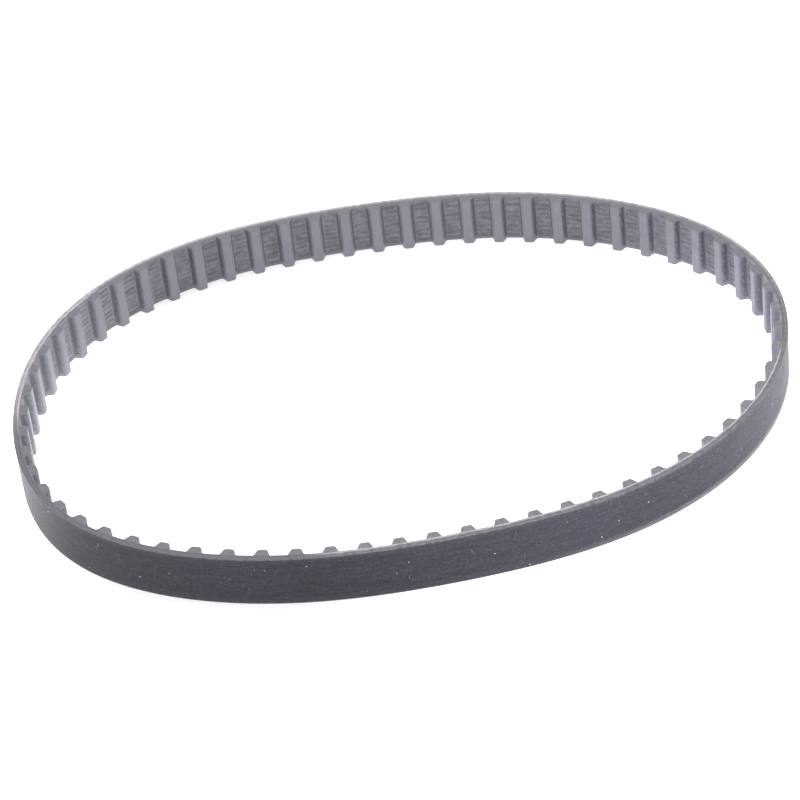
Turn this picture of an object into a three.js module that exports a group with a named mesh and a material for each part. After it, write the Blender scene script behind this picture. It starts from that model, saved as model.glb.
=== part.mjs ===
import * as THREE from 'three';

// Endless toothed drive belt lying on its cut edge. Millimetres, +Z up.
// Four layers follow the same pitch line: a rubber backing, the tension cords, the rubber of the teeth
// and the fabric that faces the teeth. Thirteen stretches of five teeth hinge on each other at the pitch line.

// Standard sizes of the belt section
const PITCH = 5.08; // tooth spacing along the pitch line
const TEETH = 65;
const WIDTH = 8.7;
const BACK = 0.776; // outer face to pitch line
const LAND = 0.254; // pitch line to the land between two teeth
const TIP = 1.524; // pitch line to the tooth tip
const ROOT_HALF = 1.285; // half of the tooth's width at the land
const FLANK = THREE.MathUtils.degToRad(25); // each flank leans this far
const RADIUS = 0.38; // root and tip radii

// Layers, as depths inward from the pitch line
const GAP = 0.01;
const CORD_MID = -0.04;
const CORD_PEAK = 0.12; // half thickness of the cord layer on a cord
const CORD_VALLEY = 0.05; // and between two cords
const CORDS = 9;
const CORD_SPACING = 0.93;
const FACING = 0.09; // thickness of the tooth facing
const BACKING_IN = CORD_MID - CORD_PEAK - GAP;
const RUBBER_OUT = CORD_MID + CORD_PEAK + GAP;

// Stretches
const SEGMENTS = 13;
const SEGMENT_TEETH = 5;
const FIRST_TOOTH = 4;
const SLIT = 0.3; // gap between two stretches, at the middle of a land

// The pitch line's heading, in radians, at loop angle s: HEADING - s + sum of A cos(n s) + B sin(n s)
const HEADING = -0.544504;
const PHASE = -0.166231; // of a tooth, where tooth 0 lies on the loop
const HARMONICS = [
  [-0.003013, 0.000408],
  [0.203361, 0.15569],
  [-0.013867, 0.031115],
  [0.034641, 0.014182],
  [-0.008587, -0.0159],
  [-0.015093, -0.002252],
  [0.008135, -0.00164],
  [-0.003561, -0.00751],
  [-0.000838, 0.001482],
];
const STEPS = 64; // integration steps in one pitch

const COLOURS = {
  backing: { color: 0x47474d, roughness: 0.72, metalness: 0 },
  tension_cords: { color: 0xa8958f, roughness: 0.85, metalness: 0 },
  tooth_rubber: { color: 0x5d5d64, roughness: 0.75, metalness: 0 },
  nylon_facing: { color: 0x7c7c87, roughness: 0.82, metalness: 0 },
};

const TURN = 2 * Math.PI;
const vec = (x, y) => new THREE.Vector2(x, y);
const along = (a, b, f) => a.clone().lerp(b, f);

function heading(u) {
  const s = ((u + PHASE) / TEETH) * TURN;
  return HARMONICS.reduce((sum, [a, b], i) => sum + a * Math.cos((i + 1) * s) + b * Math.sin((i + 1) * s), HEADING - s);
}

// The pitch line by the midpoint rule, from tooth position 0 once around
const line = [vec(0, 0)];
for (let i = 0; i < TEETH * STEPS; i++) {
  const h = heading((i + 0.5) / STEPS);
  line.push(line[i].clone().add(vec(Math.cos(h), Math.sin(h)).multiplyScalar(PITCH / STEPS)));
}

function pitchPoint(u) {
  const v = ((u % TEETH) + TEETH) % TEETH;
  const i = Math.floor(v * STEPS);
  return along(line[i], line[i + 1], v * STEPS - i);
}

// Unit normal into the loop
const inward = (u) => vec(Math.sin(heading(u)), -Math.cos(heading(u)));
const station = (u, depth) => pitchPoint(u).add(inward(u).multiplyScalar(depth));

// One tooth's outline from its centre to the land, x along the belt and y inward
function halfTooth() {
  const flankAt = (depth) => ROOT_HALF - (depth - LAND) * Math.tan(FLANK);
  const bend = Math.PI / 2 - FLANK;
  const run = RADIUS * Math.tan(bend / 2);
  const round = (corner, level, side) => {
    // side -1 rounds the tip inside the corner, +1 fills the root
    const start = vec(corner.x + side * run, level);
    const end = vec(corner.x - side * run * Math.sin(FLANK), level + side * run * Math.cos(FLANK));
    const centre = vec(start.x, level + side * RADIUS);
    const middle = along(start, end, 0.5).sub(centre).normalize().multiplyScalar(RADIUS).add(centre);
    return { start, middle, end };
  };
  const tip = round(vec(flankAt(TIP), TIP), TIP, -1);
  const root = round(vec(ROOT_HALF, LAND), LAND, 1);
  return { tip, root };
}

const { tip, root } = halfTooth();
const rightSide = [tip.start, tip.middle, tip.end, root.end, root.start];
const rightSideCoarse = [tip.start, tip.end, root.end, root.start];
const whole = (side) => [...side.map((p) => vec(-p.x, p.y)).reverse(), ...side];

// The same outline moved back toward the pitch line by a distance, with mitred corners
function movedBack(outline, distance) {
  const first = outline[0];
  const last = outline[outline.length - 1];
  const full = [vec(first.x - 1, first.y), ...outline, vec(last.x + 1, last.y)];
  return outline.map((p, i) => {
    const before = full[i + 1].clone().sub(full[i]).normalize();
    const after = full[i + 2].clone().sub(full[i + 1]).normalize();
    const n0 = vec(before.y, -before.x);
    const n1 = vec(after.y, -after.x);
    const mitre = n0.clone().add(n1);
    return p.clone().add(mitre.multiplyScalar((2 * distance) / mitre.lengthSq()));
  });
}

const facingFront = whole(rightSide);
const facingBack = movedBack(whole(rightSideCoarse), FACING);
const rubberFront = movedBack(whole(rightSideCoarse), FACING + GAP);

// Points of one stretch at a constant depth, one at each land's middle, with the ends drawn back from the slits
function straightRun(first, depth) {
  const at = Array.from({ length: SEGMENT_TEETH + 1 }, (_, j) => station(first - 0.5 + j, depth));
  const cut = SLIT / 2 / PITCH;
  const head = along(at[0], at[1], cut);
  const tail = along(at[SEGMENT_TEETH], at[SEGMENT_TEETH - 1], cut);
  return [head, ...at.slice(1, SEGMENT_TEETH), tail];
}

// Points of one stretch along its teeth, for an outline given about each tooth's centre
function toothedRun(first, outline, landDepth) {
  const lands = Array.from({ length: SEGMENT_TEETH + 1 }, (_, j) => station(first - 0.5 + j, landDepth));
  const points = [];
  const cut = SLIT / 2 / (PITCH / 2 - outline[outline.length - 1].x);
  for (let j = 0; j < SEGMENT_TEETH; j++) {
    const a = station(first - 0.5 + j, 0);
    const b = station(first + 0.5 + j, 0);
    const t = b.clone().sub(a).normalize();
    const n = vec(t.y, -t.x);
    const middle = along(a, b, 0.5);
    const placed = outline.map((p) => middle.clone().addScaledVector(t, p.x).addScaledVector(n, p.y));
    points.push(j ? lands[j] : along(lands[0], placed[0], cut), ...placed);
    if (j === SEGMENT_TEETH - 1) points.push(along(lands[SEGMENT_TEETH], placed[placed.length - 1], cut));
  }
  return points;
}

// The outer face of one stretch, with a point more at the middle of each tooth
function backRun(first) {
  const lands = straightRun(first, -BACK);
  return lands.flatMap((p, j) => (j < SEGMENT_TEETH ? [p, station(first + j, -BACK)] : [p]));
}

const outlines = [];
for (let i = 0; i < SEGMENTS; i++) {
  const first = FIRST_TOOTH + i * SEGMENT_TEETH;
  outlines.push({
    backing: [...backRun(first), ...straightRun(first, BACKING_IN).reverse()],
    tooth_rubber: [...straightRun(first, RUBBER_OUT), ...toothedRun(first, rubberFront, LAND - FACING - GAP).reverse()],
    nylon_facing: [...toothedRun(first, facingBack, LAND - FACING), ...toothedRun(first, facingFront, LAND).reverse()],
    first,
  });
}

// The whole outline is centred on the origin
const box = new THREE.Box2().setFromPoints(outlines.flatMap((o) => o.backing));
const shift = box.getCenter(vec(0, 0)).negate();

function prism(points) {
  const shape = new THREE.Shape(points.map((p) => p.clone().add(shift)));
  return new THREE.ExtrudeGeometry(shape, { depth: WIDTH, bevelEnabled: false, steps: 1 });
}

// The cords lie side by side across the width, joined by thinner rubber
function cordLayer(first) {
  const rows = [[0, CORD_VALLEY]];
  const start = (WIDTH - (CORDS - 1) * CORD_SPACING) / 2;
  for (let c = 0; c < CORDS; c++) {
    rows.push([start + c * CORD_SPACING, CORD_PEAK]);
    if (c < CORDS - 1) rows.push([start + (c + 0.5) * CORD_SPACING, CORD_VALLEY]);
  }
  rows.push([WIDTH, CORD_VALLEY]);
  const ring = [...rows.map(([z, half]) => [z, CORD_MID - half]), ...rows.map(([z, half]) => [z, CORD_MID + half]).reverse()];
  const runs = ring.map(([, depth]) => straightRun(first, depth));
  const count = ring.length;
  const sections = SEGMENT_TEETH + 1;
  const positions = [];
  for (let j = 0; j < sections; j++) {
    for (let k = 0; k < count; k++) {
      const p = runs[k][j].clone().add(shift);
      positions.push(p.x, p.y, ring[k][0]);
    }
  }
  const faces = [];
  for (let j = 0; j < sections - 1; j++) {
    for (let k = 0; k < count; k++) {
      const l = (k + 1) % count;
      const a = j * count + k;
      const b = j * count + l;
      faces.push(a, b, b + count, a, b + count, a + count);
    }
  }
  const last = (sections - 1) * count;
  for (let r = 0; r < rows.length - 1; r++) {
    const a = r;
    const b = r + 1;
    const c = count - 2 - r;
    const d = count - 1 - r;
    faces.push(a, d, c, a, c, b);
    faces.push(last + a, last + c, last + d, last + a, last + b, last + c);
  }
  const geometry = new THREE.BufferGeometry();
  geometry.setAttribute('position', new THREE.Float32BufferAttribute(positions, 3));
  geometry.setIndex(faces);
  return geometry;
}

const group = new THREE.Group();
group.name = 'timing_belt';

outlines.forEach((outline, i) => {
  const segment = new THREE.Group();
  const number = String(i + 1).padStart(2, '0');
  segment.name = `stretch_${number}`;
  const layers = {
    backing: prism(outline.backing),
    tension_cords: cordLayer(outline.first),
    tooth_rubber: prism(outline.tooth_rubber),
    nylon_facing: prism(outline.nylon_facing),
  };
  for (const [layer, geometry] of Object.entries(layers)) {
    geometry.computeVertexNormals();
    const mesh = new THREE.Mesh(geometry, new THREE.MeshStandardMaterial(COLOURS[layer]));
    mesh.name = `${layer}_${number}`;
    segment.add(mesh);
  }
  group.add(segment);
});

export default group;
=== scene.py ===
import math

import bpy
import numpy as np
from mathutils import Matrix, Vector

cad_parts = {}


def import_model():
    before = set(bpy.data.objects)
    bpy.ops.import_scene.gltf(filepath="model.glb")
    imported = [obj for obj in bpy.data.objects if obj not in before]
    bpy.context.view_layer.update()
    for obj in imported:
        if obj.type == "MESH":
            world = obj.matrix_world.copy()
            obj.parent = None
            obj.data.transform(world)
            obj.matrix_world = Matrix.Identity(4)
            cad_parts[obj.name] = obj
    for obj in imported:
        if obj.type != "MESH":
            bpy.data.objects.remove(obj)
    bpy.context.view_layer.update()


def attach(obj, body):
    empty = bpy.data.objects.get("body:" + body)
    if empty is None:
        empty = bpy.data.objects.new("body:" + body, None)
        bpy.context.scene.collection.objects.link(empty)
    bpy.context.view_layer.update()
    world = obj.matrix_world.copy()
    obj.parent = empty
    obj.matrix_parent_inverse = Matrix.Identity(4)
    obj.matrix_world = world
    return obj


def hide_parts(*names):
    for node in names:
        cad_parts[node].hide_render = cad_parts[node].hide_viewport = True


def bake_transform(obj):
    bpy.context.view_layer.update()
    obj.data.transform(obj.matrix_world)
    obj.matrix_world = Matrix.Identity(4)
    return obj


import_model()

# ---------------------------------------------------------------- the belt's own sizes, in millimetres, as in the CAD
PITCH, TEETH, WIDTH = 5.08, 65, 8.7
BACK, LAND, TIP = 0.776, 0.254, 1.524
ROOT_HALF, RADIUS = 1.285, 0.38
FLANK = math.radians(25)
HEADING, PHASE = -0.544504, -0.166231
HARMONICS = [
    (-0.003013, 0.000408),
    (0.203361, 0.15569),
    (-0.013867, 0.031115),
    (0.034641, 0.014182),
    (-0.008587, -0.0159),
    (-0.015093, -0.002252),
    (0.008135, -0.00164),
    (-0.003561, -0.00751),
    (-0.000838, 0.001482),
]
STEPS, SEGMENTS, SEGMENT_TEETH, FIRST, SLIT = 64, 13, 5, 4, 0.3
CORD_IN, CORD_OUT = 0.085, -0.165  # the cord layer, inward and outward of the pitch line
FACING = 0.09
LENGTH = PITCH * TEETH


def heading(u):
    s = (np.asarray(u, float) + PHASE) / TEETH * 2 * np.pi
    h = HEADING - s
    for i, (a, b) in enumerate(HARMONICS):
        h = h + a * np.cos((i + 1) * s) + b * np.sin((i + 1) * s)
    return h


def curvature(u):
    """Of the pitch line, in 1/mm, positive where it bends round the inside."""
    s = (np.asarray(u, float) + PHASE) / TEETH * 2 * np.pi
    d = -1.0
    for i, (a, b) in enumerate(HARMONICS):
        n = i + 1
        d = d - n * a * np.sin(n * s) + n * b * np.cos(n * s)
    return -d * 2 * np.pi / LENGTH


_h = heading((np.arange(TEETH * STEPS) + 0.5) / STEPS)
_line = np.vstack(
    [[[0.0, 0.0]], np.cumsum(np.c_[np.cos(_h), np.sin(_h)], axis=0) * PITCH / STEPS]
)


def pitch_point(u):
    v = np.mod(u, TEETH)
    i = np.minimum(np.floor(v * STEPS).astype(int), TEETH * STEPS - 1)
    f = (v * STEPS - i)[..., None]
    return _line[i] * (1 - f) + _line[i + 1] * f


def inward(u):
    h = heading(u)
    return np.stack([np.sin(h), -np.cos(h)], -1)


def _centre():
    found = []
    cut = SLIT / 2 / PITCH
    for i in range(SEGMENTS):
        first = FIRST + i * SEGMENT_TEETH
        u = first - 0.5 + np.arange(6.0)
        at = pitch_point(u) - inward(u) * BACK
        m = first + np.arange(5.0)
        found += [at[0] * (1 - cut) + at[1] * cut, *at[1:5], at[5] * (1 - cut) + at[4] * cut]
        found += list(pitch_point(m) - inward(m) * BACK)
    found = np.array(found)
    return -(found.min(0) + found.max(0)) / 2


SHIFT = _centre()


def place(u, t, z):
    """Points in metres for a place along the belt in teeth, a depth inward and a height, both in mm."""
    u, t, z = np.broadcast_arrays(
        np.asarray(u, float), np.asarray(t, float), np.asarray(z, float)
    )
    xy = pitch_point(u) + inward(u) * t[..., None] + SHIFT
    return np.concatenate([xy, z[..., None]], -1) / 1000


# ---------------------------------------------------------------- smooth repeatable noise along the belt
def wave_noise(seed, count, low, high):
    """A sum of cosines that closes on itself round the loop: noise(u) with values of about -1 to 1."""
    rng = np.random.default_rng(seed)
    n = rng.integers(low, high, count)
    phase = rng.uniform(0, 2 * np.pi, count)
    size = rng.uniform(0.4, 1.0, count)
    size /= np.sqrt((size**2).sum() / 2)

    def at(u, z=0.0, per_mm=0.0):
        u = np.asarray(u, float)[..., None]
        z = np.asarray(z, float)[..., None]
        return (
            size * np.cos(n * u * 2 * np.pi / TEETH + phase + z * per_mm * (1 + n % 7))
        ).sum(-1)

    return at


edge_top, edge_low = wave_noise(11, 60, 40, 900), wave_noise(12, 60, 40, 900)
swell = wave_noise(13, 24, 3, 60)


# ---------------------------------------------------------------- where each piece lies and which bodies' parts it replaces; only the pieces at the open cut ride on a body
def spans():
    """(label, first u, last u, body or bodies, hinge u, stretches that it stands for). A span crosses one hinge, and two more end at the open cut."""
    made = []
    for h in range(1, SEGMENTS):
        hinge = FIRST - 0.5 + SEGMENT_TEETH * h
        made.append((f"{h:02d}", hinge - 2, hinge + 3, (h, h + 1), hinge))
    start, last = FIRST - 0.5, FIRST - 0.5 + SEGMENT_TEETH * SEGMENTS
    made.append(("start", start, start + 3, (1,), None))
    made.append(("end", last - 2, last, (13,), None))
    return made


def fix(obj, span, layers):
    _, _, _, bodies, hinge = span
    names = [f"stretch_{b:02d}" for b in bodies]
    if hinge is None:
        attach(obj, names[0])
    else:
        ends = place(np.array([hinge - 1.6, hinge + 1.6]), 0.0, WIDTH / 2)
        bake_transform(obj)
    if layers:
        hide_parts(*[f"{layer}_{b:02d}" for layer in layers for b in bodies])


def outward(points, faces):
    """The faces of a closed body, turned where needed so that they look out of it."""
    volume = 0.0
    for f in faces:
        for k in range(1, f.shape[1] - 1):
            a, b, c = points[f[:, 0]], points[f[:, k]], points[f[:, k + 1]]
            volume += float(np.sum(a * np.cross(b, c)))
    return faces if volume >= 0 else [f[:, ::-1] for f in faces]


def mesh_object(name, points, faces, attributes, material, sharp=32):
    """A mesh from points in metres and a list of quads and triangles. attributes is {name: array}: one value or three for each point."""
    mesh = bpy.data.meshes.new(name)
    points = np.asarray(points, float)
    faces = outward(points, faces)
    counts = np.concatenate([np.full(len(f), f.shape[1], np.int32) for f in faces])
    loops = np.concatenate([f.ravel() for f in faces]).astype(np.int32)
    mesh.vertices.add(len(points))
    mesh.vertices.foreach_set("co", np.asarray(points, np.float32).ravel())
    mesh.loops.add(len(loops))
    mesh.loops.foreach_set("vertex_index", loops)
    mesh.polygons.add(len(counts))
    mesh.polygons.foreach_set(
        "loop_start", np.concatenate([[0], np.cumsum(counts)[:-1]]).astype(np.int32)
    )
    mesh.polygons.foreach_set("loop_total", counts)
    mesh.update(calc_edges=True)
    for key, values in attributes.items():
        values = np.asarray(values, np.float32)
        kind = "FLOAT_VECTOR" if values.ndim == 2 else "FLOAT"
        data = mesh.attributes.new(key, kind, "POINT").data
        data.foreach_set("vector" if values.ndim == 2 else "value", values.ravel())
    mesh.polygons.foreach_set("use_smooth", np.ones(len(counts), bool))
    mesh.set_sharp_from_angle(angle=math.radians(sharp))
    mesh.validate()
    obj = bpy.data.objects.new(name, mesh)
    bpy.context.scene.collection.objects.link(obj)
    mesh.materials.append(material)
    return obj


def loft(us, loop_t, loop_z):
    """Points and faces of a closed section swept along the belt, with flat ends. loop_t and loop_z are (stations, points)."""
    n, m = loop_t.shape
    u = np.repeat(us[:, None], m, 1)
    points = place(u, loop_t, loop_z).reshape(-1, 3)
    belt = np.stack([u * PITCH, loop_t, loop_z], -1).reshape(-1, 3)
    i, k = np.meshgrid(np.arange(n - 1), np.arange(m), indexing="ij")
    a = (i * m + k).ravel()
    b = (i * m + (k + 1) % m).ravel()
    quads = np.stack([a, b, b + m, a + m], 1)
    first = np.arange(m)[::-1][None, :]
    last = ((n - 1) * m + np.arange(m))[None, :]
    return points, [quads, first, last], belt


# ---------------------------------------------------------------- materials
def nodes_of(name):
    mat = bpy.data.materials.new(name)
    mat.use_nodes = True
    tree = mat.node_tree
    tree.nodes.clear()
    out = tree.nodes.new("ShaderNodeOutputMaterial")
    bsdf = tree.nodes.new("ShaderNodeBsdfPrincipled")
    tree.links.new(bsdf.outputs["BSDF"], out.inputs["Surface"])
    return mat, tree, bsdf


class Net:
    """Small helpers for node trees."""

    def __init__(self, tree):
        self.tree = tree

    def link(self, a, b):
        self.tree.links.new(a, b)

    def attribute(self, name, output="Vector"):
        node = self.tree.nodes.new("ShaderNodeAttribute")
        node.attribute_name = name
        return node.outputs[output]

    def scaled(self, vector, scale):
        node = self.tree.nodes.new("ShaderNodeVectorMath")
        node.operation = "MULTIPLY"
        self.link(vector, node.inputs[0])
        node.inputs[1].default_value = scale
        return node.outputs[0]

    def noise(self, vector, scale, detail=3.0, rough=0.55, distortion=0.0):
        node = self.tree.nodes.new("ShaderNodeTexNoise")
        self.link(vector, node.inputs["Vector"])
        node.inputs["Scale"].default_value = scale
        node.inputs["Detail"].default_value = detail
        node.inputs["Roughness"].default_value = rough
        node.inputs["Distortion"].default_value = distortion
        return node.outputs["Fac"]

    def cells(self, vector, scale):
        node = self.tree.nodes.new("ShaderNodeTexVoronoi")
        self.link(vector, node.inputs["Vector"])
        node.inputs["Scale"].default_value = scale
        return node

    def math(self, operation, a, b=None, clamp=False):
        node = self.tree.nodes.new("ShaderNodeMath")
        node.operation = operation
        node.use_clamp = clamp
        for i, v in enumerate((a, b)):
            if v is None:
                continue
            if isinstance(v, (int, float)):
                node.inputs[i].default_value = v
            else:
                self.link(v, node.inputs[i])
        return node.outputs[0]

    def span(self, value, low, high, to_low=0.0, to_high=1.0):
        node = self.tree.nodes.new("ShaderNodeMapRange")
        self.link(value, node.inputs["Value"])
        for key, v in (
            ("From Min", low),
            ("From Max", high),
            ("To Min", to_low),
            ("To Max", to_high),
        ):
            node.inputs[key].default_value = v
        return node.outputs["Result"]

    def smooth(self, value, low, high):
        out = self.span(value, low, high)
        out.node.interpolation_type = "SMOOTHSTEP"
        return out

    def mix(self, factor, a, b):
        node = self.tree.nodes.new("ShaderNodeMix")
        node.data_type = "RGBA"
        if isinstance(factor, (int, float)):
            node.inputs["Factor"].default_value = factor
        else:
            self.link(factor, node.inputs["Factor"])
        for key, v in (("A", a), ("B", b)):
            socket = [s for s in node.inputs if s.name == key and s.type == "RGBA"][0]
            if isinstance(v, tuple):
                socket.default_value = (*v, 1.0)
            else:
                self.link(v, socket)
        return [s for s in node.outputs if s.type == "RGBA"][0]

    def split(self, vector):
        node = self.tree.nodes.new("ShaderNodeSeparateXYZ")
        self.link(vector, node.inputs[0])
        return node.outputs

    def bump(self, height, strength, distance, normal=None):
        node = self.tree.nodes.new("ShaderNodeBump")
        self.link(height, node.inputs["Height"])
        node.inputs["Strength"].default_value = strength
        node.inputs["Distance"].default_value = distance
        if normal is not None:
            self.link(normal, node.inputs["Normal"])
        return node.outputs["Normal"]


def backing_material():
    """Ground rubber: near black, with fine streaks along the belt, a few pale specks, and paler worn and cut edges,
    with a painted highlight on the outer corner on the far side of the loop.
    """
    mat, tree, bsdf = nodes_of("ground_rubber")
    n = Net(tree)
    belt = n.attribute("belt")
    edge = n.attribute("edge", "Fac")
    wear = n.attribute("wear", "Fac")
    streaks = n.noise(n.scaled(belt, (0.22, 2.0, 2.3)), 1.0, 5.0, 0.66)
    fine = n.noise(n.scaled(belt, (0.9, 6.0, 6.5)), 1.0, 4.0, 0.66)
    cloud = n.noise(n.scaled(belt, (0.07, 0.3, 0.22)), 1.0, 3.0, 0.5)
    grain = n.noise(n.scaled(belt, (7.0, 7.0, 7.0)), 1.0, 2.0, 0.6)
    grit = n.noise(n.scaled(belt, (2.6, 3.0, 3.0)), 1.0, 3.0, 0.6)
    s, t, z = n.split(belt)
    tone = n.mix(n.span(streaks, 0.34, 0.68), (0.006, 0.0055, 0.009), (0.030, 0.029, 0.045))
    tone = n.mix(n.span(cloud, 0.40, 0.68, 0.0, 0.5), tone, (0.026, 0.028, 0.046))
    tone = n.mix(n.span(fine, 0.53, 0.74, 0.0, 0.55), tone, (0.070, 0.070, 0.084))
    tone = n.mix(n.span(grain, 0.60, 0.78, 0.0, 0.35), tone, (0.075, 0.075, 0.085))
    tone = n.mix(n.span(grit, 0.54, 0.70, 0.0, 0.62), tone, (0.066, 0.066, 0.080))
    tone = n.mix(n.span(grit, 0.30, 0.44, 0.6, 0.0), tone, (0.004, 0.004, 0.006))
    # painted light: the face is lighter toward its foot, where the glowing floor lights it, and lighter toward its top
    foot = n.math("ADD", n.span(z, 1.5, 0.2, 0.0, 0.45), n.span(z, 7.6, 8.6, 0.0, 0.40))
    tone = n.mix(n.math("MULTIPLY", foot, n.span(fine, 0.3, 0.6)), tone, (0.094, 0.090, 0.102))
    base = n.math("MULTIPLY", n.span(z, 1.2, 0.25), n.math("MULTIPLY", n.span(s, 55.0, 72.0), n.span(s, 128.0, 100.0)))
    tone = n.mix(n.math("MULTIPLY", base, n.span(grit, 0.3, 0.6, 0.35, 0.85)), tone, (0.30, 0.275, 0.275))
    # pale specks of dust pressed into the rubber
    dots = n.cells(n.scaled(belt, (1.0, 1.0, 1.0)), 0.62)
    near = n.span(dots.outputs["Distance"], 0.045, 0.085, 1.0, 0.0)
    pick = n.span(n.split(dots.outputs["Color"])[0], 0.66, 0.68)
    tone = n.mix(n.math("MULTIPLY", near, pick), tone, (0.66, 0.65, 0.65))
    small = n.cells(n.scaled(belt, (1.0, 1.0, 1.0)), 1.7)
    near = n.span(small.outputs["Distance"], 0.05, 0.13, 1.0, 0.0)
    pick = n.span(n.split(small.outputs["Color"])[1], 0.86, 0.90)
    tone = n.mix(n.math("MULTIPLY", n.math("MULTIPLY", near, pick), 0.5), tone, (0.20, 0.20, 0.21))
    rubbed = n.math("MULTIPLY", n.span(z, 4.0, 7.5), n.math("MULTIPLY", n.span(s, 62.0, 74.0), n.span(s, 128.0, 112.0)))
    turned = n.math("MULTIPLY", n.span(s, 56.0, 64.0), n.span(s, 104.0, 82.0))
    rubbed = n.math("MAXIMUM", rubbed, n.math("MULTIPLY", turned, 0.9))
    dashes = n.noise(n.scaled(belt, (1.3, 3.0, 6.0)), 1.0, 3.0, 0.62)
    flecks = n.math("MULTIPLY", n.span(dashes, 0.60, 0.68), n.span(grit, 0.48, 0.58))
    tone = n.mix(n.math("MULTIPLY", flecks, n.math("ADD", n.math("MULTIPLY", rubbed, 0.55), 0.10)), tone, (0.30, 0.29, 0.33))
    # the cut edge is paler and rougher than the ground face, most of all where the cords are laid open
    cut = n.noise(n.scaled(belt, (1.6, 6.0, 3.0)), 1.0, 4.0, 0.68)
    dull = n.mix(n.span(cut, 0.3, 0.7), (0.150, 0.147, 0.166), (0.245, 0.241, 0.266))
    pale = n.mix(n.span(cut, 0.3, 0.7), (0.190, 0.182, 0.204), (0.330, 0.320, 0.348))
    worn_and_highlit = n.mix(wear, dull, pale)
    # painted highlight on the outer corner at the far side of the loop
    worn_and_highlit = n.mix(n.attribute("rim_highlight", "Fac"), worn_and_highlit, (0.66, 0.635, 0.66))
    # on the face beside the corner the wear is broken up into scuffs
    solid = n.span(edge, 0.5, 0.7)
    scuff = n.math("MULTIPLY", edge, n.span(cut, 0.36, 0.62, 0.25, 1.9))
    amount = n.math("ADD", n.math("MULTIPLY", solid, edge),
                    n.math("MULTIPLY", n.math("SUBTRACT", 1.0, solid), scuff), clamp=True)
    n.link(n.mix(amount, tone, worn_and_highlit), bsdf.inputs["Base Color"])
    rough = n.span(fine, 0.3, 0.7, 0.36, 0.50)
    n.link(n.math("ADD", rough, n.math("MULTIPLY", edge, 0.30), clamp=True), bsdf.inputs["Roughness"])
    height = n.math("ADD", n.math("MULTIPLY", streaks, 0.7), n.math("MULTIPLY", fine, 0.45))
    height = n.math("ADD", height, n.math("MULTIPLY", grain, 0.30))
    n.link(n.bump(height, 0.7, 0.00007), bsdf.inputs["Normal"])
    bsdf.inputs["Specular IOR Level"].default_value = 0.45
    bsdf.inputs["Specular Tint"].default_value = (0.93, 0.94, 1.0, 1.0)
    return mat


def rubber_material():
    """Moulded tooth rubber, seen only where it is cut at the edges."""
    mat, tree, bsdf = nodes_of("tooth_rubber")
    n = Net(tree)
    belt = n.attribute("belt")
    wear = n.attribute("wear", "Fac")
    cut = n.noise(n.scaled(belt, (2.4, 3.4, 3.0)), 1.0, 4.0, 0.68)
    fine = n.noise(n.scaled(belt, (11.0, 11.0, 11.0)), 1.0, 2.0, 0.6)
    dull = n.mix(n.span(cut, 0.3, 0.7), (0.190, 0.187, 0.208), (0.290, 0.286, 0.312))
    pale = n.mix(n.span(cut, 0.3, 0.7), (0.235, 0.230, 0.250), (0.360, 0.352, 0.374))
    tone = n.mix(wear, dull, pale)
    tone = n.mix(n.span(fine, 0.56, 0.74, 0.0, 0.5), tone, (0.44, 0.43, 0.44))
    tone = n.mix(n.span(fine, 0.26, 0.42, 0.45, 0.0), tone, (0.10, 0.098, 0.11))
    n.link(tone, bsdf.inputs["Base Color"])
    n.link(n.span(cut, 0.3, 0.7, 0.66, 0.82), bsdf.inputs["Roughness"])
    n.link(n.bump(n.math("ADD", cut, n.math("MULTIPLY", fine, 0.5)), 0.6, 0.00007), bsdf.inputs["Normal"])
    bsdf.inputs["Specular IOR Level"].default_value = 0.4
    return mat


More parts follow.
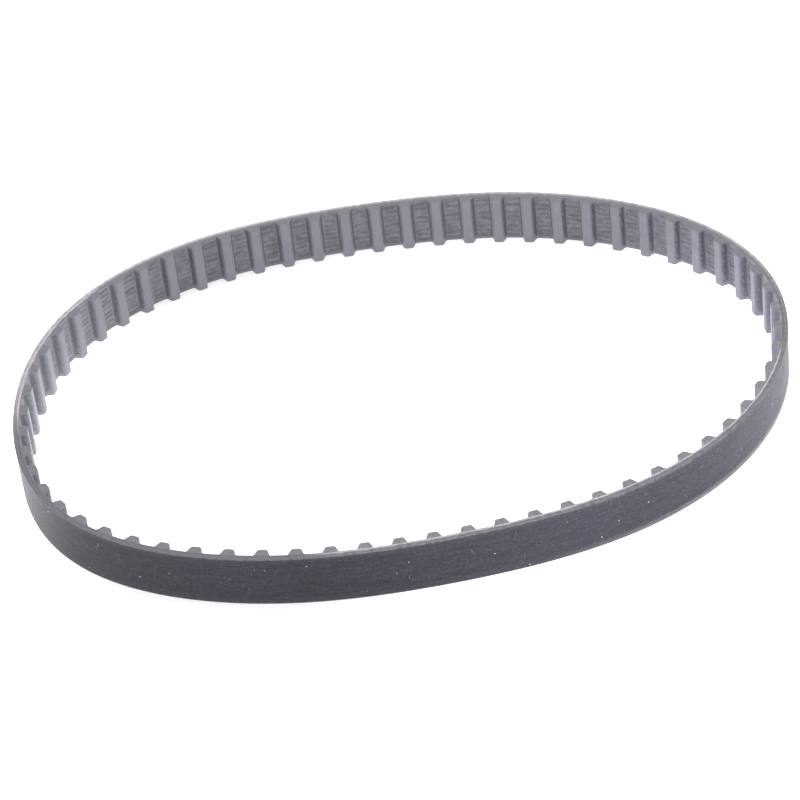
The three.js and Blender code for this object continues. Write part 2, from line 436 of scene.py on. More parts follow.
def facing_material():
    """Fine nylon fabric bonded over the teeth: a small weave, paler on the worn tips, dark up the flanks and round the
    foot of each tooth (partly the fabric's folds, partly painted shade), with the marks of the cords across the lands,
    and a soft sheen."""
    mat, tree, bsdf = nodes_of("nylon_facing")
    n = Net(tree)
    belt = n.attribute("belt")
    groove = n.attribute("groove", "Fac")
    fold_shade = n.attribute("fold_shade", "Fac")
    panel = n.attribute("panel", "Fac")
    edge = n.attribute("edge", "Fac")
    blotch = n.noise(n.scaled(belt, (0.5, 0.5, 0.5)), 1.0, 3.0, 0.55)
    fuzz = n.noise(n.scaled(belt, (3.6, 3.6, 4.4)), 1.0, 3.0, 0.62)
    grain = n.noise(n.scaled(belt, (9.0, 9.0, 9.0)), 1.0, 2.0, 0.6)
    s, t, z = n.split(belt)
    # two thread directions, 0.17 mm apart
    warp = n.math("SINE", n.math("MULTIPLY", n.math("ADD", s, t), 2 * math.pi / 0.17))
    weft = n.math("SINE", n.math("MULTIPLY", z, 2 * math.pi / 0.16))
    weave = n.math("MULTIPLY", warp, weft)
    # the lay of the twisted cords shows as short slanting dashes in their marks
    lay = n.math("ADD", n.math("MULTIPLY", s, 2 * math.pi / 0.52), n.math("MULTIPLY", z, 2 * math.pi / 1.3))
    lay = n.math("ADD", lay, n.math("MULTIPLY", fuzz, 5.0))
    dash = n.span(n.math("SINE", lay), -0.8, 0.9, 0.62, 1.0)
    patch = n.noise(n.scaled(belt, (0.75, 0.75, 1.25)), 1.0, 3.0, 0.6)
    tip = n.mix(n.span(blotch, 0.3, 0.7), (0.205, 0.207, 0.246), (0.240, 0.243, 0.286))
    tip = n.mix(n.span(fuzz, 0.60, 0.80, 0.0, 0.25), tip, (0.16, 0.158, 0.185))
    land = n.mix(n.span(fuzz, 0.34, 0.66), (0.150, 0.148, 0.176), (0.240, 0.240, 0.284))
    land = n.mix(n.span(patch, 0.48, 0.62, 0.0, 0.65), land, (0.275, 0.281, 0.350))
    land = n.mix(n.span(patch, 0.36, 0.50, 0.75, 0.0), land, (0.120, 0.113, 0.130))
    plain = n.attribute("plain", "Fac")
    painted_sheen = n.attribute("painted_sheen", "Fac")
    # painted sheen: lands, and tips further along the belt, painted paler at both ends of the oval
    land = n.mix(n.math("MULTIPLY", painted_sheen, 0.62), land, (0.40, 0.40, 0.455))
    tip = n.mix(n.math("MULTIPLY", painted_sheen, n.span(s, 100.0, 150.0, 0.0, 0.30)), tip, (0.36, 0.36, 0.41))
    tip = n.mix(n.math("MULTIPLY", plain, 0.8), tip, (0.195, 0.192, 0.212))
    tone = n.mix(panel, tip, land)
    tone = n.mix(n.span(weave, -1.0, 1.0, 0.0, 0.14), tone, (0.32, 0.32, 0.36))
    tone = n.mix(n.span(grain, 0.56, 0.78, 0.0, 0.30), tone, (0.105, 0.102, 0.120))
    # the cord marks are darker: partly their own colour, partly painted shade in the grooves
    tone = n.mix(n.math("MULTIPLY", n.math("MULTIPLY", groove, dash), 0.98, clamp=True), tone, (0.078, 0.073, 0.084))
    # painted shade up the flanks and round the foot, lighter where the painted sheen lies
    tone = n.mix(n.math("MULTIPLY", fold_shade, n.span(painted_sheen, 0.0, 1.0, 0.80, 0.55)), tone, (0.084, 0.082, 0.100))
    rim = n.mix(n.span(fuzz, 0.3, 0.7), (0.205, 0.201, 0.222), (0.290, 0.285, 0.310))
    tone = n.mix(edge, tone, rim)
    # a few bright fibre ends and specks
    dots = n.cells(n.scaled(belt, (1.0, 1.0, 1.0)), 1.5)
    near = n.span(dots.outputs["Distance"], 0.06, 0.12, 1.0, 0.0)
    pick = n.span(n.split(dots.outputs["Color"])[0], 0.84, 0.87)
    tone = n.mix(n.math("MULTIPLY", n.math("MULTIPLY", near, pick), 0.6), tone, (0.50, 0.50, 0.52))
    n.link(tone, bsdf.inputs["Base Color"])
    n.link(n.span(fuzz, 0.3, 0.7, 0.34, 0.50), bsdf.inputs["Roughness"])
    height = n.math("ADD", n.math("MULTIPLY", weave, 0.2), n.math("MULTIPLY", fuzz, 0.8))
    height = n.math("SUBTRACT", height, n.math("MULTIPLY", n.math("MULTIPLY", groove, dash), 0.4))
    n.link(n.bump(height, 0.5, 0.00006), bsdf.inputs["Normal"])
    bsdf.inputs["Specular IOR Level"].default_value = 0.55
    bsdf.inputs["Sheen Weight"].default_value = 0.8
    bsdf.inputs["Sheen Roughness"].default_value = 0.25
    return mat


def cord_material(name, low, high):
    """Glass fibre cord with its pinkish dip, bare where the edge cuts through it."""
    mat, tree, bsdf = nodes_of(name)
    n = Net(tree)
    belt = n.attribute("belt")
    bare = n.attribute("bare", "Fac")
    strand = n.noise(n.scaled(belt, (1.3, 12.0, 12.0)), 1.0, 4.0, 0.68)
    patch = n.noise(n.scaled(belt, (0.8, 1.5, 1.5)), 1.0, 3.0, 0.6)
    fibre = n.mix(n.span(strand, 0.34, 0.66), low, high)
    fibre = n.mix(n.span(patch, 0.54, 0.68, 0.0, 0.55), fibre, (0.34, 0.29, 0.285))
    fibre = n.mix(n.span(patch, 0.30, 0.42, 0.5, 0.0), fibre, (0.24, 0.225, 0.245))
    # painted highlight on the cut cord ends at the far side of the loop
    dull = n.mix(n.attribute("rim_highlight", "Fac"), (0.165, 0.161, 0.180), (0.50, 0.48, 0.51))
    n.link(n.mix(bare, dull, fibre), bsdf.inputs["Base Color"])
    n.link(n.span(strand, 0.3, 0.7, 0.45, 0.7), bsdf.inputs["Roughness"])
    n.link(n.bump(strand, 0.6, 0.00006), bsdf.inputs["Normal"])
    bsdf.inputs["Sheen Weight"].default_value = 0.2
    return mat


def lint_material():
    """Loose pale threads and scratches that lie on the back."""
    mat, tree, bsdf = nodes_of("lint")
    n = Net(tree)
    belt = n.attribute("belt")
    tone = n.noise(n.scaled(belt, (3.0, 3.0, 3.0)), 1.0, 2.0, 0.5)
    n.link(n.mix(n.span(tone, 0.3, 0.7), (0.36, 0.35, 0.37), (0.62, 0.60, 0.60)), bsdf.inputs["Base Color"])
    n.link(n.span(tone, 0.3, 0.7, 0.6, 0.8), bsdf.inputs["Roughness"])
    return mat


M_BACKING = backing_material()
M_RUBBER = rubber_material()
M_FACING = facing_material()
M_CORD = cord_material("cord_ends", (0.36, 0.335, 0.36), (0.72, 0.68, 0.71))
M_FIBRE = cord_material("cord_fibres", (0.60, 0.56, 0.58), (0.95, 0.91, 0.93))
M_LINT = lint_material()


# ---------------------------------------------------------------- outer rubber
def smooth_step(x):
    x = np.clip(x, 0, 1)
    return x * x * (3 - 2 * x)


BARE_TOP = [(13.7, 31.6), (43.6, 51.5)]
BARE_LOW = [(34.5, 43.0), (56.5, 67.0)]
patchy = wave_noise(21, 30, 30, 260)


def bareness(u, ranges):
    """How far the knife has laid the cord open: 0 to 1 along the belt."""
    u = np.mod(u, TEETH)
    found = np.zeros_like(u)
    for lo, hi in ranges:
        for turn in (-TEETH, 0, TEETH):
            v = u + turn
            found = np.maximum(
                found, smooth_step((v - lo) / 1.5) * smooth_step((hi - v) / 1.5)
            )
    broken = smooth_step((u - 21.5) / 3.0)
    return found * np.clip(0.86 - 0.12 * broken + (0.40 + 0.35 * broken) * patchy(u), 0.12, 1.0)


def far_side(u):
    """0 to 1: the part of the loop where the whole cut edge gets a painted pale highlight."""
    v = np.mod(u - 30.0, TEETH) + 30.0
    zone = smooth_step((v - 43.0) / 4.0) * smooth_step((78.0 - v) / 5.0)
    more = smooth_step((v - 50.0) / 4.0) * smooth_step((61.0 - v) / 4.0)
    return zone * np.clip(0.66 + 0.30 * more + 0.10 * patchy(u), 0, 1)


def wear_at(u):
    """Where the cut edge is rougher and paler: 0 to 1 along the belt."""
    found = bareness(u, [(10.0, 31.8)])
    return np.clip(found * 1.1, 0, 1)


def backing_piece(span):
    label, a, b, _, _ = span
    us = held(np.linspace(a, b, int(round((b - a) * 14)) + 1))
    r = 0.11
    corner = np.radians([0, 22.5, 45, 67.5, 90])
    rows = np.concatenate([[r], r + 0.08 * np.arange(1, 9), np.linspace(1.0, WIDTH - 1.0, 17)])
    rows = np.concatenate([rows, (WIDTH - rows[:9])[::-1]])
    t, z, edge = [], [], []
    for zz in rows:  # the ground face, upward, paler where its corners are worn
        t.append(-BACK), z.append(zz), edge.append(0.0)
    for c in corner[1:]:  # rounded upper corner
        t.append(-BACK + r * (1 - math.cos(c))), z.append(WIDTH - r + r * math.sin(c))
        edge.append(0.5 + 0.5 * math.sin(c) ** 0.5)
    for tt in np.linspace(-BACK + r, CORD_OUT, 6)[1:]:
        t.append(tt), z.append(WIDTH), edge.append(1.0)
    t.append(CORD_OUT), z.append(0.0), edge.append(1.0)
    for tt in np.linspace(CORD_OUT, -BACK + r, 6)[1:]:
        t.append(tt), z.append(0.0), edge.append(1.0)
    for c in corner[::-1][1:-1]:
        t.append(-BACK + r * (1 - math.cos(c))), z.append(r - r * math.sin(c))
        edge.append(0.5 + 0.5 * math.sin(c) ** 0.5)
    t, z, edge = (np.array(v)[None, :] + 0 * us[:, None] for v in (t, z, edge))
    ground = slice(0, len(rows))
    near = np.minimum(z, WIDTH - z)[:, ground]
    wide = 0.17 + 0.62 * bareness(us, [(11.0, 24.0)])[:, None] * (z[:, ground] > WIDTH / 2)
    edge[:, ground] = 0.5 * np.clip(1 - (near - r) / wide, 0, 1) ** 2
    # the knife leaves the edges a little uneven, and the ground face swells and dips by a hair
    top, low = (z > WIDTH - 0.005), (z < 0.005)
    ragged = edge_top(us)[:, None] * 0.012
    z = z + np.where(top, ragged * np.clip((-t - 0.1) / 0.6, 0, 1), 0)
    z = z - np.where(low, np.abs(edge_low(us))[:, None] * -0.006, 0)
    t = t + np.where((z > 0.6) & (z < WIDTH - 0.6), 0.012 * swell(us)[:, None] * np.sin(z * 0.7 + 0.4), 0)
    # painted highlight: the outer corner is painted pale on the side of the loop away from the cords' open ends
    rim_highlight = np.clip(-t / 0.34, 0, 1) * (edge > 0.6) * far_side(us)[:, None]
    face = (edge > 0) & (edge < 0.5)
    edge = np.where(face, edge * np.clip(0.85 + 0.12 * edge_low(us)[:, None], 0.4, 1.1), edge)
    # points at the cut of two pieces are the same in both, because all of this depends on u alone
    points, faces, belt = loft(us, t, z)
    faces[0] = faces[0][:, ::-1]
    faces[1], faces[2] = faces[1][:, ::-1], faces[2][:, ::-1]
    obj = mesh_object(
        f"backing_band_{label}",
        points,
        faces,
        {"belt": belt, "edge": edge.ravel(), "wear": np.repeat(wear_at(us), t.shape[1]), "rim_highlight": rim_highlight.ravel()},
        M_BACKING,
        sharp=50,
    )
    fix(obj, span, ["backing"])
    return obj


# ---------------------------------------------------------------- cords, with their cut strands at the edges
def cord_piece(span):
    label, a, b, _, _ = span
    us = held(np.linspace(a, b, int(round((b - a) * 14)) + 1))
    across = np.linspace(CORD_OUT, CORD_IN, 6)
    top, low = bareness(us, BARE_TOP), bareness(us, BARE_LOW)
    strand = [wave_noise(30 + i, 20, 60, 700) for i in range(len(across))]
    t, z, bare = [], [], []
    for i, tt in enumerate(across):
        lift = np.where(top > 0.05, 0.05 * strand[i](us) + 0.03, 0) * top - 0.025 * (1 - top)
        if i in (0, len(across) - 1):
            lift = np.minimum(lift, -0.01)
        t.append(0 * us + tt), z.append(WIDTH + lift), bare.append(top)
    for i, tt in enumerate(across[::-1]):
        lift = np.where(low > 0.05, 0.03 * strand[i](us), 0) * low - 0.025 * (1 - low)
        t.append(0 * us + tt), z.append(np.maximum(0.0, -lift)), bare.append(low)
    t, z, bare = (np.stack(v, 1) for v in (t, z, bare))
    # painted highlight: the cut cords are paler on the far side of the loop, most toward the outside
    rim_highlight = far_side(us)[:, None] * (0.40 - 1.6 * t)
    points, faces, belt = loft(us, t, z)
    faces = [f[:, ::-1] for f in faces]
    obj = mesh_object(
        f"cord_band_{label}", points, faces, {"belt": belt, "bare": bare.ravel(), "rim_highlight": rim_highlight.ravel()}, M_CORD, sharp=60
    )
    fix(obj, span, ["tension_cords"])
    return obj


def tube(path, radius, sides=5):
    """Points and faces of a thin closed tube along a path in metres."""
    d = np.gradient(path, axis=0)
    d /= np.maximum(np.linalg.norm(d, axis=1, keepdims=True), 1e-12)
    side = np.cross(d, [0.0, 0.0, 1.0])
    short = np.linalg.norm(side, axis=1, keepdims=True)
    side = np.where(short > 1e-3, side / np.maximum(short, 1e-12), [[1.0, 0.0, 0.0]])
    up = np.cross(side, d)
    angles = np.arange(sides) * 2 * np.pi / sides
    n = len(path)
    taper = np.clip(np.minimum(np.arange(n), n - 1 - np.arange(n)) / 2.0, 0.25, 1.0)
    ring = (
        path[:, None, :]
        + (radius * taper)[:, None, None]
        * (side[:, None, :] * np.cos(angles)[None, :, None] + up[:, None, :] * np.sin(angles)[None, :, None])
    )
    i, k = np.meshgrid(np.arange(n - 1), np.arange(sides), indexing="ij")
    a = (i * sides + k).ravel()
    b = (i * sides + (k + 1) % sides).ravel()
    quads = np.stack([a, b, b + sides, a + sides], 1)
    first = np.arange(sides)[::-1][None, :]
    last = ((n - 1) * sides + np.arange(sides))[None, :]
    return ring.reshape(-1, 3), quads, np.vstack([first, last])


def gather(tubes, belts):
    """One mesh from many tubes."""
    points, quads, ends, offset = [], [], [], 0
    for p, q, e in tubes:
        points.append(p), quads.append(q + offset), ends.append(e + offset)
        offset += len(p)
    return np.vstack(points), [np.vstack(quads), np.vstack(ends)], np.vstack(belts)


def fibre_piece(span, all_fibres):
    label, a, b, _, _ = span
    mine = [f for f in all_fibres if a <= f["u"] < b or a <= f["u"] + TEETH < b]
    if not mine:
        return None
    tubes, belts = [], []
    for f in mine:
        u, t, z = f["path"]
        made = tube(place(u, t, z), f["radius"] / 1000)
        tubes.append(made)
        sides = len(made[0]) // len(u)
        belts.append(np.repeat(np.stack([u * PITCH, t, z], 1), sides, 0) + f["seed"])
    points, faces, belt = gather(tubes, belts)
    obj = mesh_object(
        f"cord_fibres_{label}", points, faces, {"belt": belt, "bare": np.ones(len(points))}, M_FIBRE, sharp=80
    )
    fix(obj, span, [])
    return obj


def grow_fibres():
    """Strands of the cut cord that lie along the edge, some with a lifted end."""
    rng = np.random.default_rng(5)
    made = []
    for ranges, top in ((BARE_TOP, True), (BARE_LOW, False)):
        for lo, hi in ranges:
            for _ in range(int((hi - lo) * 40)):
                u0 = rng.uniform(lo + 0.4, hi - 0.4)
                if rng.uniform() > bareness(np.array([u0]), ranges)[0]:
                    continue
                length = rng.uniform(0.25, 1.3)
                n = 14
                x = np.linspace(-0.5, 0.5, n)
                u = u0 + x * length
                spread = 0.05 if 12 < u0 < 23 else 0.10
                t = np.clip(rng.normal(-0.03, spread), -0.2, 0.2) + rng.normal(0, 0.025, 3) @ np.stack(
                    [np.sin(7 * x + rng.uniform(0, 6)), np.sin(17 * x + rng.uniform(0, 6)), x * 2]
                )
                height = rng.uniform(0.005, 0.06)
                lift = (0.10 if rng.uniform() < 0.8 else 0.32) * rng.uniform(0.1, 1.0)
                end = np.clip(np.abs(x) * 2 - 0.55, 0, 1) ** 2 * (np.sign(x) == rng.choice([-1, 1]))
                t = np.clip(t + end * rng.normal(0, 0.35), -0.5, 0.5)
                rise = height + end * lift * 3
                z = WIDTH + rise if top else 0.03 + 0 * rise
                made.append(
                    {"u": u0, "path": (u, t, z), "radius": rng.uniform(0.014, 0.034), "seed": rng.uniform(0, 40, 3)}
                )
    return made


# ---------------------------------------------------------------- tooth outline
def tooth_outline():
    """(x, t) from one land's middle to the next, x in mm from the tooth's centre, with the flats, flanks and both radii."""
    flank, root_half, tip_r, root_r = math.radians(21.5), 1.205, 0.42, 0.34
    bend = math.pi / 2 - flank
    tip_run, root_run = tip_r * math.tan(bend / 2), root_r * math.tan(bend / 2)
    tip_x = root_half - (TIP - LAND) * math.tan(flank)
    half = [(0.0, TIP), (0.5 * (tip_x - tip_run), TIP)]
    for f in np.linspace(0, 1, 8):
        a = f * bend
        half.append((tip_x - tip_run + tip_r * math.sin(a), TIP - tip_r * (1 - math.cos(a))))
    arc = []
    for f in np.linspace(0, 1, 7):
        a = (1 - f) * bend
        arc.append((root_half + root_run - root_r * math.sin(a), LAND + root_r * (1 - math.cos(a))))
    top, foot = half[-1], arc[0]
    for f in (0.25, 0.5, 0.75):
        half.append((top[0] + (foot[0] - top[0]) * f, top[1] + (foot[1] - top[1]) * f))
    half += arc
    for x in np.linspace(arc[-1][0], PITCH / 2, 11)[1:]:
        half.append((x, LAND))
    half = np.array(half)
    return np.vstack([half[::-1] * [-1, 1], half[1:]])


OUTLINE = tooth_outline()


def outline_inset(outline, d):
    """The outline moved toward the rubber by d, along its own normals."""
    g = np.gradient(outline, axis=0)
    g /= np.linalg.norm(g, axis=1, keepdims=True)
    return outline + np.c_[g[:, 1], -g[:, 0]] * d


def held(u):
    """The two ends at the open cut stay 0.004 mm apart, so that they never touch."""
    cut = FIRST - 0.5
    return np.clip(u, cut + 0.0004, cut + TEETH - 0.0004)


def along_teeth(a, b, outline):
    """(u, t, x, tooth number) along whole teeth from land a to land b."""
    u, t, x, k = [], [], [], []
    for tooth in range(int(round(a + 0.5)), int(round(b + 0.5))):
        part = outline if tooth == int(round(a + 0.5)) else outline[1:]
        squeeze = 1 / (1 - curvature(float(tooth)) * np.clip(part[:, 1] - LAND, 0, None))
        u.append(tooth + part[:, 0] / PITCH * squeeze)
        t.append(part[:, 1]), x.append(part[:, 0]), k.append(np.full(len(part), tooth))
    u, t, x, k = (np.concatenate(v) for v in (u, t, x, k))
    return held(u), t, x, k


def land_marks():
    """The cords press marks into each land: for each land, a list of (z, x from, x to, depth, width)."""
    rng = np.random.default_rng(8)
    marks = {}
    for land in range(TEETH):
        here = []
        strong, groups = rng.uniform(0.65, 1.0), rng.uniform(0.0, 1.0)
        for i in range(9):
            z = 0.80 + 0.875 * i + rng.normal(0, 0.04)
            apart = 1.0 - groups * (0.75 if i in (3, 6) else 0.0)
            x0, x1 = -1.30 + rng.uniform(0, 0.3), 1.30 - rng.uniform(0, 0.3)
            deep = strong * apart * rng.uniform(0.6, 1.0)
            here.append((z, x0, x1, deep, rng.uniform(0.24, 0.38)))
            if rng.uniform() < 0.35:
                here.append((z + rng.choice([-0.4, 0.4]), x0 + 0.3, x1 - 0.9, 0.35 * strong, 0.12))
        marks[land] = here
    return marks


MARKS = land_marks()


def groove_at(u, z):
    """0 to 1: how deep a cord mark is at each place."""
    found = np.zeros_like(u + z)
    land = np.mod(np.floor(u), TEETH).astype(int)
    x = (u - np.floor(u) - 0.5) * PITCH
    for n in np.unique(land):
        rows = land[:, 0] == n
        for zc, x0, x1, deep, wide in MARKS[int(n)]:
            xs = x[rows]
            bend = 0.05 * np.sin(xs * 2.3 + zc * 5) + 0.06 * xs
            fade = smooth_step((xs - x0) / 0.35) * smooth_step((x1 - xs) / 0.35)
            found[rows] = np.maximum(
                found[rows], deep * fade * np.exp(-(((z[rows] - zc - bend) / wide) ** 2))
            )
    return found


fuzzy = wave_noise(41, 40, 100, 1500)


def facing_piece(span):
    label, a, b, _, _ = span
    u, t, x, k = along_teeth(a, b, OUTLINE)
    inner = outline_inset(OUTLINE, FACING)
    ui, ti, _, _ = along_teeth(a, b, inner)
    ui[0], ui[-1] = u[0], u[-1]
    edge = 0.11
    z = np.concatenate(
        [[0.0, 0.02, 0.05], np.linspace(edge, WIDTH - edge, 66), [WIDTH - 0.05, WIDTH - 0.02, WIDTH]]
    )
    U, Z = np.meshgrid(u, z, indexing="ij")
    T = np.repeat(t[:, None], len(z), 1)
    near = np.minimum(Z, WIDTH - Z)
    groove = groove_at(U, Z)
    groove = groove * smooth_step((near - np.where(Z > WIDTH / 2, 0.18, 0.38)) / 0.2)
    T = T - 0.030 * groove - 0.065 * np.clip(1 - near / edge, 0, 1) ** 2
    T = T + 0.006 * fuzzy(U, Z, 2.0)
    n, m = T.shape
    outer = place(U, T, Z)
    lower = place(ui, ti, 0.0 * ti)
    upper = place(ui, ti, WIDTH + 0.0 * ti)
    points = np.vstack([outer.reshape(-1, 3), lower, upper])
    i, j = np.meshgrid(np.arange(n - 1), np.arange(m - 1), indexing="ij")
    c = (i * m + j).ravel()
    front = np.stack([c, c + m, c + m + 1, c + 1], 1)
    i = np.arange(n - 1)
    lo, up = n * m + i, n * m + n + i
    back = np.stack([lo, up, up + 1, lo + 1], 1)
    at_low = np.stack([i * m, lo, lo + 1, (i + 1) * m], 1)
    at_top = np.stack([i * m + m - 1, (i + 1) * m + m - 1, up + 1, up], 1)
    first = np.concatenate([np.arange(m), [n * m + n, n * m]])[None, :]
    last = np.concatenate([(n - 1) * m + np.arange(m), [n * m + 2 * n - 1, n * m + n - 1]])[None, ::-1]
    belt = np.vstack(
        [
            np.stack([U * PITCH, T, Z], -1).reshape(-1, 3),
            np.c_[ui * PITCH, ti, 0 * ti],
            np.c_[ui * PITCH, ti, WIDTH + 0 * ti],
        ]
    )
    marks = np.concatenate([groove.ravel(), np.zeros(2 * n)])
    # painted shade, with the fabric's darker folds, up both flanks and round the foot; the marked panel stops short of
    # the edges
    off = np.abs(x)[:, None] + 0 * Z
    uneven = 0.05 * fuzzy(U, Z, 1.1)
    shade = smooth_step((off - 0.84 - uneven) / 0.16) * smooth_step((1.46 + uneven - off) / 0.22)
    short = 0.10 * np.sin(np.floor(U) * 2.7) + 0.05 * fuzzy(U, 0 * Z, 0.0)
    margin = np.where(Z > WIDTH / 2, 0.14 + 0.6 * short, 0.46 + short)
    inside = smooth_step((near - margin) / 0.16)
    corner = np.where(off < 1.75, smooth_step((near - margin + 0.10 - 0.35 * (1.75 - off)) / 0.2), 1.0)
    line = smooth_step((near - margin) / 0.10) * smooth_step((margin + 0.30 - near) / 0.14)
    fold_shade = np.maximum(shade * corner, 0.22 * line * smooth_step((off - 1.3) / 0.2))
    panel = smooth_step((off - 1.25) / 0.2) * inside
    plain = smooth_step((off - 1.2) / 0.3) * (1 - inside)
    rim = np.clip(1 - near / 0.16, 0, 1) ** 0.7
    zero, one = np.zeros(2 * n), np.ones(2 * n)
    fold_shade, panel = np.concatenate([fold_shade.ravel(), zero]), np.concatenate([panel.ravel(), zero])
    rim, plain = np.concatenate([rim.ravel(), one]), np.concatenate([plain.ravel(), zero])
    faces = [np.vstack([front, back, at_low, at_top]), first, last]
    # painted sheen: the lands at both ends of the oval, seen there at a grazing angle, are painted paler, and the
    # painted flank shade is weakened on the teeth between u 11.5 and 25
    turn = np.mod(U, TEETH)
    painted_sheen = smooth_step((turn - 8.0) / 2.5) * smooth_step((14.0 - turn) / 1.0)
    painted_sheen = painted_sheen + smooth_step((turn - 44.0) / 2.0) * smooth_step((55.5 - turn) / 5.0)
    front_lit = smooth_step((turn - 11.5) / 2.0) * smooth_step((25.0 - turn) / 4.0)
    fold_shade[: front_lit.size] *= 1 - 0.85 * front_lit.ravel()
    painted_sheen = np.concatenate([np.maximum(painted_sheen, front_lit).ravel(), zero])
    looks = {"belt": belt, "groove": marks, "fold_shade": fold_shade, "panel": panel, "plain": plain, "edge": rim, "painted_sheen": painted_sheen}
    obj = mesh_object(f"tooth_facing_{label}", points, faces, looks, M_FACING, sharp=50)
    fix(obj, span, ["nylon_facing"])
    return obj


def rubber_piece(span):
    label, a, b, _, _ = span
    u, t, _, _ = along_teeth(a, b, outline_inset(OUTLINE, FACING))
    u0, _, _, _ = along_teeth(a, b, OUTLINE)
    u[0], u[-1] = u0[0], u0[-1]
    rows = np.array([0.0, 0.25, 0.5, 0.75, 1.0])  # from the cords to the facing
    ragged = 0.012 * edge_top(u)
    n, m = len(u), len(rows)
    base = CORD_IN
    T = base + (t[:, None] - base) * rows
    U = u0[:, None] * (1 - rows) + u[:, None] * rows
    dip = np.sin(rows * np.pi)[None, :]
    top = WIDTH - 0.006 + dip * (ragged[:, None] + 0.010 * np.sin(T * 9 + U * 31))
    low = 0 * T
    points = np.vstack([place(U, T, top).reshape(-1, 3), place(U, T, low).reshape(-1, 3)])
    belt = np.vstack(
        [np.stack([U * PITCH, T, top], -1).reshape(-1, 3), np.stack([U * PITCH, T, low], -1).reshape(-1, 3)]
    )
    i, j = np.meshgrid(np.arange(n - 1), np.arange(m - 1), indexing="ij")
    c = (i * m + j).ravel()
    upper = np.stack([c, c + 1, c + m + 1, c + m], 1)
    lower = upper[:, ::-1] + n * m
    i = np.arange(n - 1)
    o = n * m
    front = np.stack([i * m + m - 1, i * m + m - 1 + o, (i + 1) * m + m - 1 + o, (i + 1) * m + m - 1], 1)
    back = np.stack([i * m, (i + 1) * m, (i + 1) * m + o, i * m + o], 1)
    first = np.concatenate([np.arange(m)[::-1], o + np.arange(m)])[None, :]
    e = (n - 1) * m
    last = np.concatenate([e + np.arange(m), o + e + np.arange(m)[::-1]])[None, :]
    obj = mesh_object(
        f"tooth_band_{label}",
        points,
        [np.vstack([upper, lower, front, back]), first, last],
        {"belt": belt, "wear": np.tile(np.repeat(wear_at(u0), m), 2)},
        M_RUBBER,
        sharp=50,
    )
    fix(obj, span, ["tooth_rubber"])
    return obj


# ---------------------------------------------------------------- lint and scratches on the back
def lint():
    rng = np.random.default_rng(17)
    made = []
    for _ in range(64):
        u0, z0 = rng.uniform(0, TEETH), rng.uniform(1.0, WIDTH - 1.0)
        length, turn = rng.uniform(0.3, 1.3), np.pi / 2 + rng.normal(0, 0.45)
        x = np.linspace(-0.5, 0.5, 9) * length
        bend = rng.normal(0, 0.05) * length * (1 - (2 * x / length) ** 2)
        u = u0 + (x * np.cos(turn) - bend * np.sin(turn)) / PITCH
        z = z0 + x * np.sin(turn) + bend * np.cos(turn)
        t = np.full_like(u, -BACK - 0.012)
        made.append({"u": u0, "path": (u, t, z), "radius": rng.uniform(0.009, 0.018), "seed": rng.uniform(0, 40, 3)})
    for _ in range(110):  # short bits rubbed off the cords, caught near the upper edge where the belt turns
        u0 = 12.4 + 10.5 * rng.beta(1.2, 1.9)
        z0 = WIDTH - 0.35 - (WIDTH - 1.2) * rng.beta(1.0, 2.4)
        length, turn = rng.uniform(0.10, 0.50), rng.normal(0.35, 0.6)
        x = np.linspace(-0.5, 0.5, 5) * length
        bend = rng.normal(0, 0.08) * length * (1 - (2 * x / length) ** 2)
        u = u0 + (x * np.cos(turn) - bend * np.sin(turn)) / PITCH
        z = z0 + x * np.sin(turn) + bend * np.cos(turn)
        t = np.full_like(u, -BACK - 0.008)
        made.append({"u": u0, "path": (u, t, z), "radius": rng.uniform(0.006, 0.013), "seed": rng.uniform(0, 40, 3)})
    return made


def lint_piece(span, threads):
    label, a, b, _, _ = span
    mine = [f for f in threads if a <= f["u"] < b or a <= f["u"] + TEETH < b]
    if not mine:
        return None
    tubes, belts = [], []
    for f in mine:
        u, t, z = f["path"]
        made = tube(place(u, t, z), f["radius"] / 1000, 4)
        tubes.append(made)
        belts.append(np.repeat(np.stack([u * PITCH, t, z], 1), len(made[0]) // len(u), 0) + f["seed"])
    points, faces, belt = gather(tubes, belts)
    obj = mesh_object(f"lint_{label}", points, faces, {"belt": belt}, M_LINT, sharp=80)
    fix(obj, span, [])
    return obj


fibres, threads = grow_fibres(), lint()
for span in spans():
    backing_piece(span)
    cord_piece(span)
    rubber_piece(span)
    facing_piece(span)
    fibre_piece(span, fibres)
    lint_piece(span, threads)


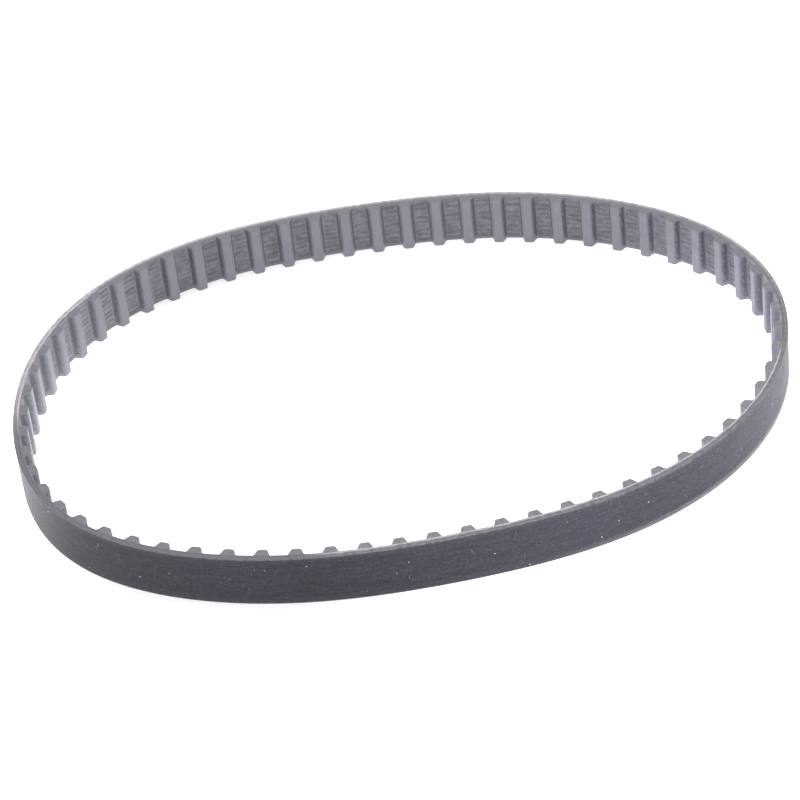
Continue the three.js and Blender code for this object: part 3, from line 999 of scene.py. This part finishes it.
# ---------------------------------------------------------------- floor, light and camera
def floor():
    mat, tree, bsdf = nodes_of("pale_floor")
    n = Net(tree)
    coords = tree.nodes.new("ShaderNodeTexCoord").outputs["Object"]
    tone = n.noise(coords, 2.0, 2.0, 0.5)
    n.link(n.mix(n.span(tone, 0.3, 0.7), (0.80, 0.80, 0.80), (0.83, 0.83, 0.83)), bsdf.inputs["Base Color"])
    bsdf.inputs["Roughness"].default_value = 0.9
    bsdf.inputs["Specular IOR Level"].default_value = 0.1
    # the table glows, more to the right and behind on the left than in front
    x, y, _ = n.split(coords)
    right = n.smooth(x, -0.028, 0.020)
    back = n.math("MULTIPLY", n.smooth(y, -0.006, 0.020), n.smooth(x, 0.054, 0.036))
    right = n.math("MULTIPLY", right, n.math("SUBTRACT", 1.0, n.math("MULTIPLY", back, 0.85)))
    left = n.math("MULTIPLY", n.smooth(x, -0.030, -0.058), n.smooth(y, -0.030, 0.012))
    right = n.math("MULTIPLY", right, n.smooth(x, 0.088, 0.060))
    low = n.math("ADD", n.math("MULTIPLY", right, 0.85), n.math("MULTIPLY", left, 1.0))
    n.link(n.math("ADD", low, 0.50), bsdf.inputs["Emission Strength"])
    n.link(n.mix(right, (1, 1, 1), (0.95, 0.965, 1.07)), bsdf.inputs["Emission Color"])
    s = 6.0
    mesh = bpy.data.meshes.new("floor")
    mesh.from_pydata([(-s, -s, 0), (s, -s, 0), (s, s, 0), (-s, s, 0)], [], [(0, 1, 2, 3)])
    obj = bpy.data.objects.new("floor", mesh)
    bpy.context.scene.collection.objects.link(obj)
    obj.location.z = -0.00005
    mesh.materials.append(mat)


def light(name, place_m, aim, size, power, colour=(1, 1, 1)):
    data = bpy.data.lights.new(name, "AREA")
    data.shape, data.size, data.energy, data.color = "DISK", size, power, colour
    obj = bpy.data.objects.new(name, data)
    bpy.context.scene.collection.objects.link(obj)
    obj.location = place_m
    obj.rotation_mode = "QUATERNION"
    obj.rotation_quaternion = (Vector(aim) - Vector(place_m)).to_track_quat("-Z", "Y")


def world():
    w = bpy.data.worlds.new("studio")
    bpy.context.scene.world = w
    w.use_nodes = True
    w.node_tree.nodes["Background"].inputs["Color"].default_value = (0.985, 0.985, 1.0, 1)
    w.node_tree.nodes["Background"].inputs["Strength"].default_value = 0.80


def camera():
    """The photograph's view, from the fit of the belt's teeth and outline."""
    at = Vector((-0.06713257, -0.40625848, 0.33279366))
    aim = Vector((-0.00044841, 0.00095739, 0.0))
    roll, focal_px = -0.11809662, 3375.41
    data = bpy.data.cameras.new("camera")
    obj = bpy.data.objects.new("camera", data)
    bpy.context.scene.collection.objects.link(obj)
    forward = (aim - at).normalized()
    right = forward.cross(Vector((0, 0, 1))).normalized()
    up = right.cross(forward)
    r = right * math.cos(roll) + up * math.sin(roll)
    u = up * math.cos(roll) - right * math.sin(roll)
    obj.matrix_world = Matrix(
        (
            (r.x, u.x, -forward.x, at.x),
            (r.y, u.y, -forward.y, at.y),
            (r.z, u.z, -forward.z, at.z),
            (0, 0, 0, 1),
        )
    )
    data.sensor_width = 36
    data.lens = focal_px / 800 * 36
    data.clip_start, data.clip_end = 0.01, 50
    data.dof.use_dof = False
    bpy.context.scene.camera = obj


floor()
world()
light("soft_top", (0.1, 0.1, 1.4), (0, 0, 0), 1.4, 5.0)
camera()
bpy.context.scene.view_settings.view_transform = "Standard"
